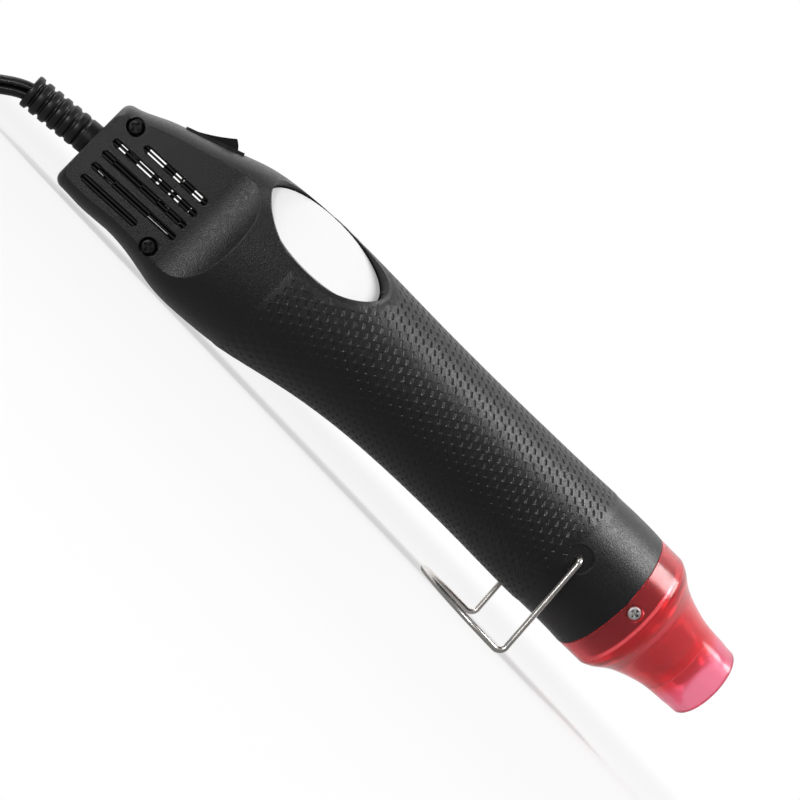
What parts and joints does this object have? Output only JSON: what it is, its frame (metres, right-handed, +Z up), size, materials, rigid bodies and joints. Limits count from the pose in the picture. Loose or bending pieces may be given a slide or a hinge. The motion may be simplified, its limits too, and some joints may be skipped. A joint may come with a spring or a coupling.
{
  "type": "embossing heat tool",
  "caption": "Slim hand-held hot-air tool for embossing and shrinking, with a translucent outlet guard, a rocker switch, a folding wire stand and a mains cord put away in a tied coil.",
  "frame": {"origin": "on the table under the middle of the tool's own length, cord left out, as the tool stands on its belly and wire stand", "axes": "+X along the tool towards its air outlet, +Y towards its left flank, +Z up"},
  "size_m": [0.3524, 0.0686, 0.0543],
  "materials": {
    "black_shell": "fine-grained moulded black",
    "label": "blank white",
    "red_guard": "translucent red",
    "gloss_black": "polished",
    "steel_screw": "zinc plated",
    "black_screw": "blackened",
    "steel_wire": "bright drawn wire",
    "rubber": "soft black",
    "cord_black": "soft black cord",
    "brass_part": "plain",
    "motor_steel": "zinc plated",
    "magnet": "sintered",
    "copper_winding": "enamelled wire on laminations",
    "white_plastic": "moulded",
    "board": "phenolic board",
    "mica": "mica sheet",
    "tube_steel": "heat-tinted",
    "heating_wire": "resistance wire",
    "lead_red": "insulated leads",
    "pin_metal": "nickel plated"
  },
  "bodies": {
    "housing": {"right_shell": "black_shell", "left_shell": "black_shell", "housing_screws": "black_screw", "label_plate": "label", "nozzle_guard": "red_guard", "guard_screws": "steel_screw", "switch_frame": "gloss_black", "switch_terminals": "brass_part", "strain_relief": "rubber", "cord_tail": "cord_black", "cord_clamp": "white_plastic", "clamp_screws": "steel_screw", "supply_leads": "lead_red", "motor_can": "motor_steel", "motor_endcap": "white_plastic", "motor_magnets": "magnet", "motor_bracket": "motor_steel", "rectifier_board": "board", "rectifier_diodes": "gloss_black", "heater_leads": "lead_red", "heater_tube": "tube_steel", "front_ring": "mica", "mica_sleeve": "mica", "heater_core": "mica", "heater_coil": "heating_wire", "thermal_cutout": "steel_screw", "power_cord": "cord_black", "cord_coil": "cord_black", "cord_tie": "cord_black", "plug_lead": "cord_black", "mains_plug": "black_shell", "plug_pins": "pin_metal"},
    "stand": {"wire_stand": "steel_wire"},
    "rocker": {"switch_rocker": "gloss_black"},
    "rotor": {"motor_shaft": "motor_steel", "fan_impeller": "white_plastic", "motor_armature": "copper_winding"}
  },
  "joints": [
    {"name": "stand_swing", "type": "hinge", "parent": "housing", "child": "stand", "pos_m": [0.05445, 0, 0.0333], "axis": [0, 1, 0], "range_deg": [-100, 22]},
    {"name": "switch_rock", "type": "hinge", "parent": "housing", "child": "rocker", "pos_m": [-0.08969, 0, 0.03728], "axis": [0, 1, 0], "range_deg": [0, 22]},
    {"name": "fan_spin", "type": "hinge", "parent": "housing", "child": "rotor", "pos_m": [-0.02748, 0, 0.03001], "axis": [0.9992, 0, 0.0401], "continuous": true}
  ]
}
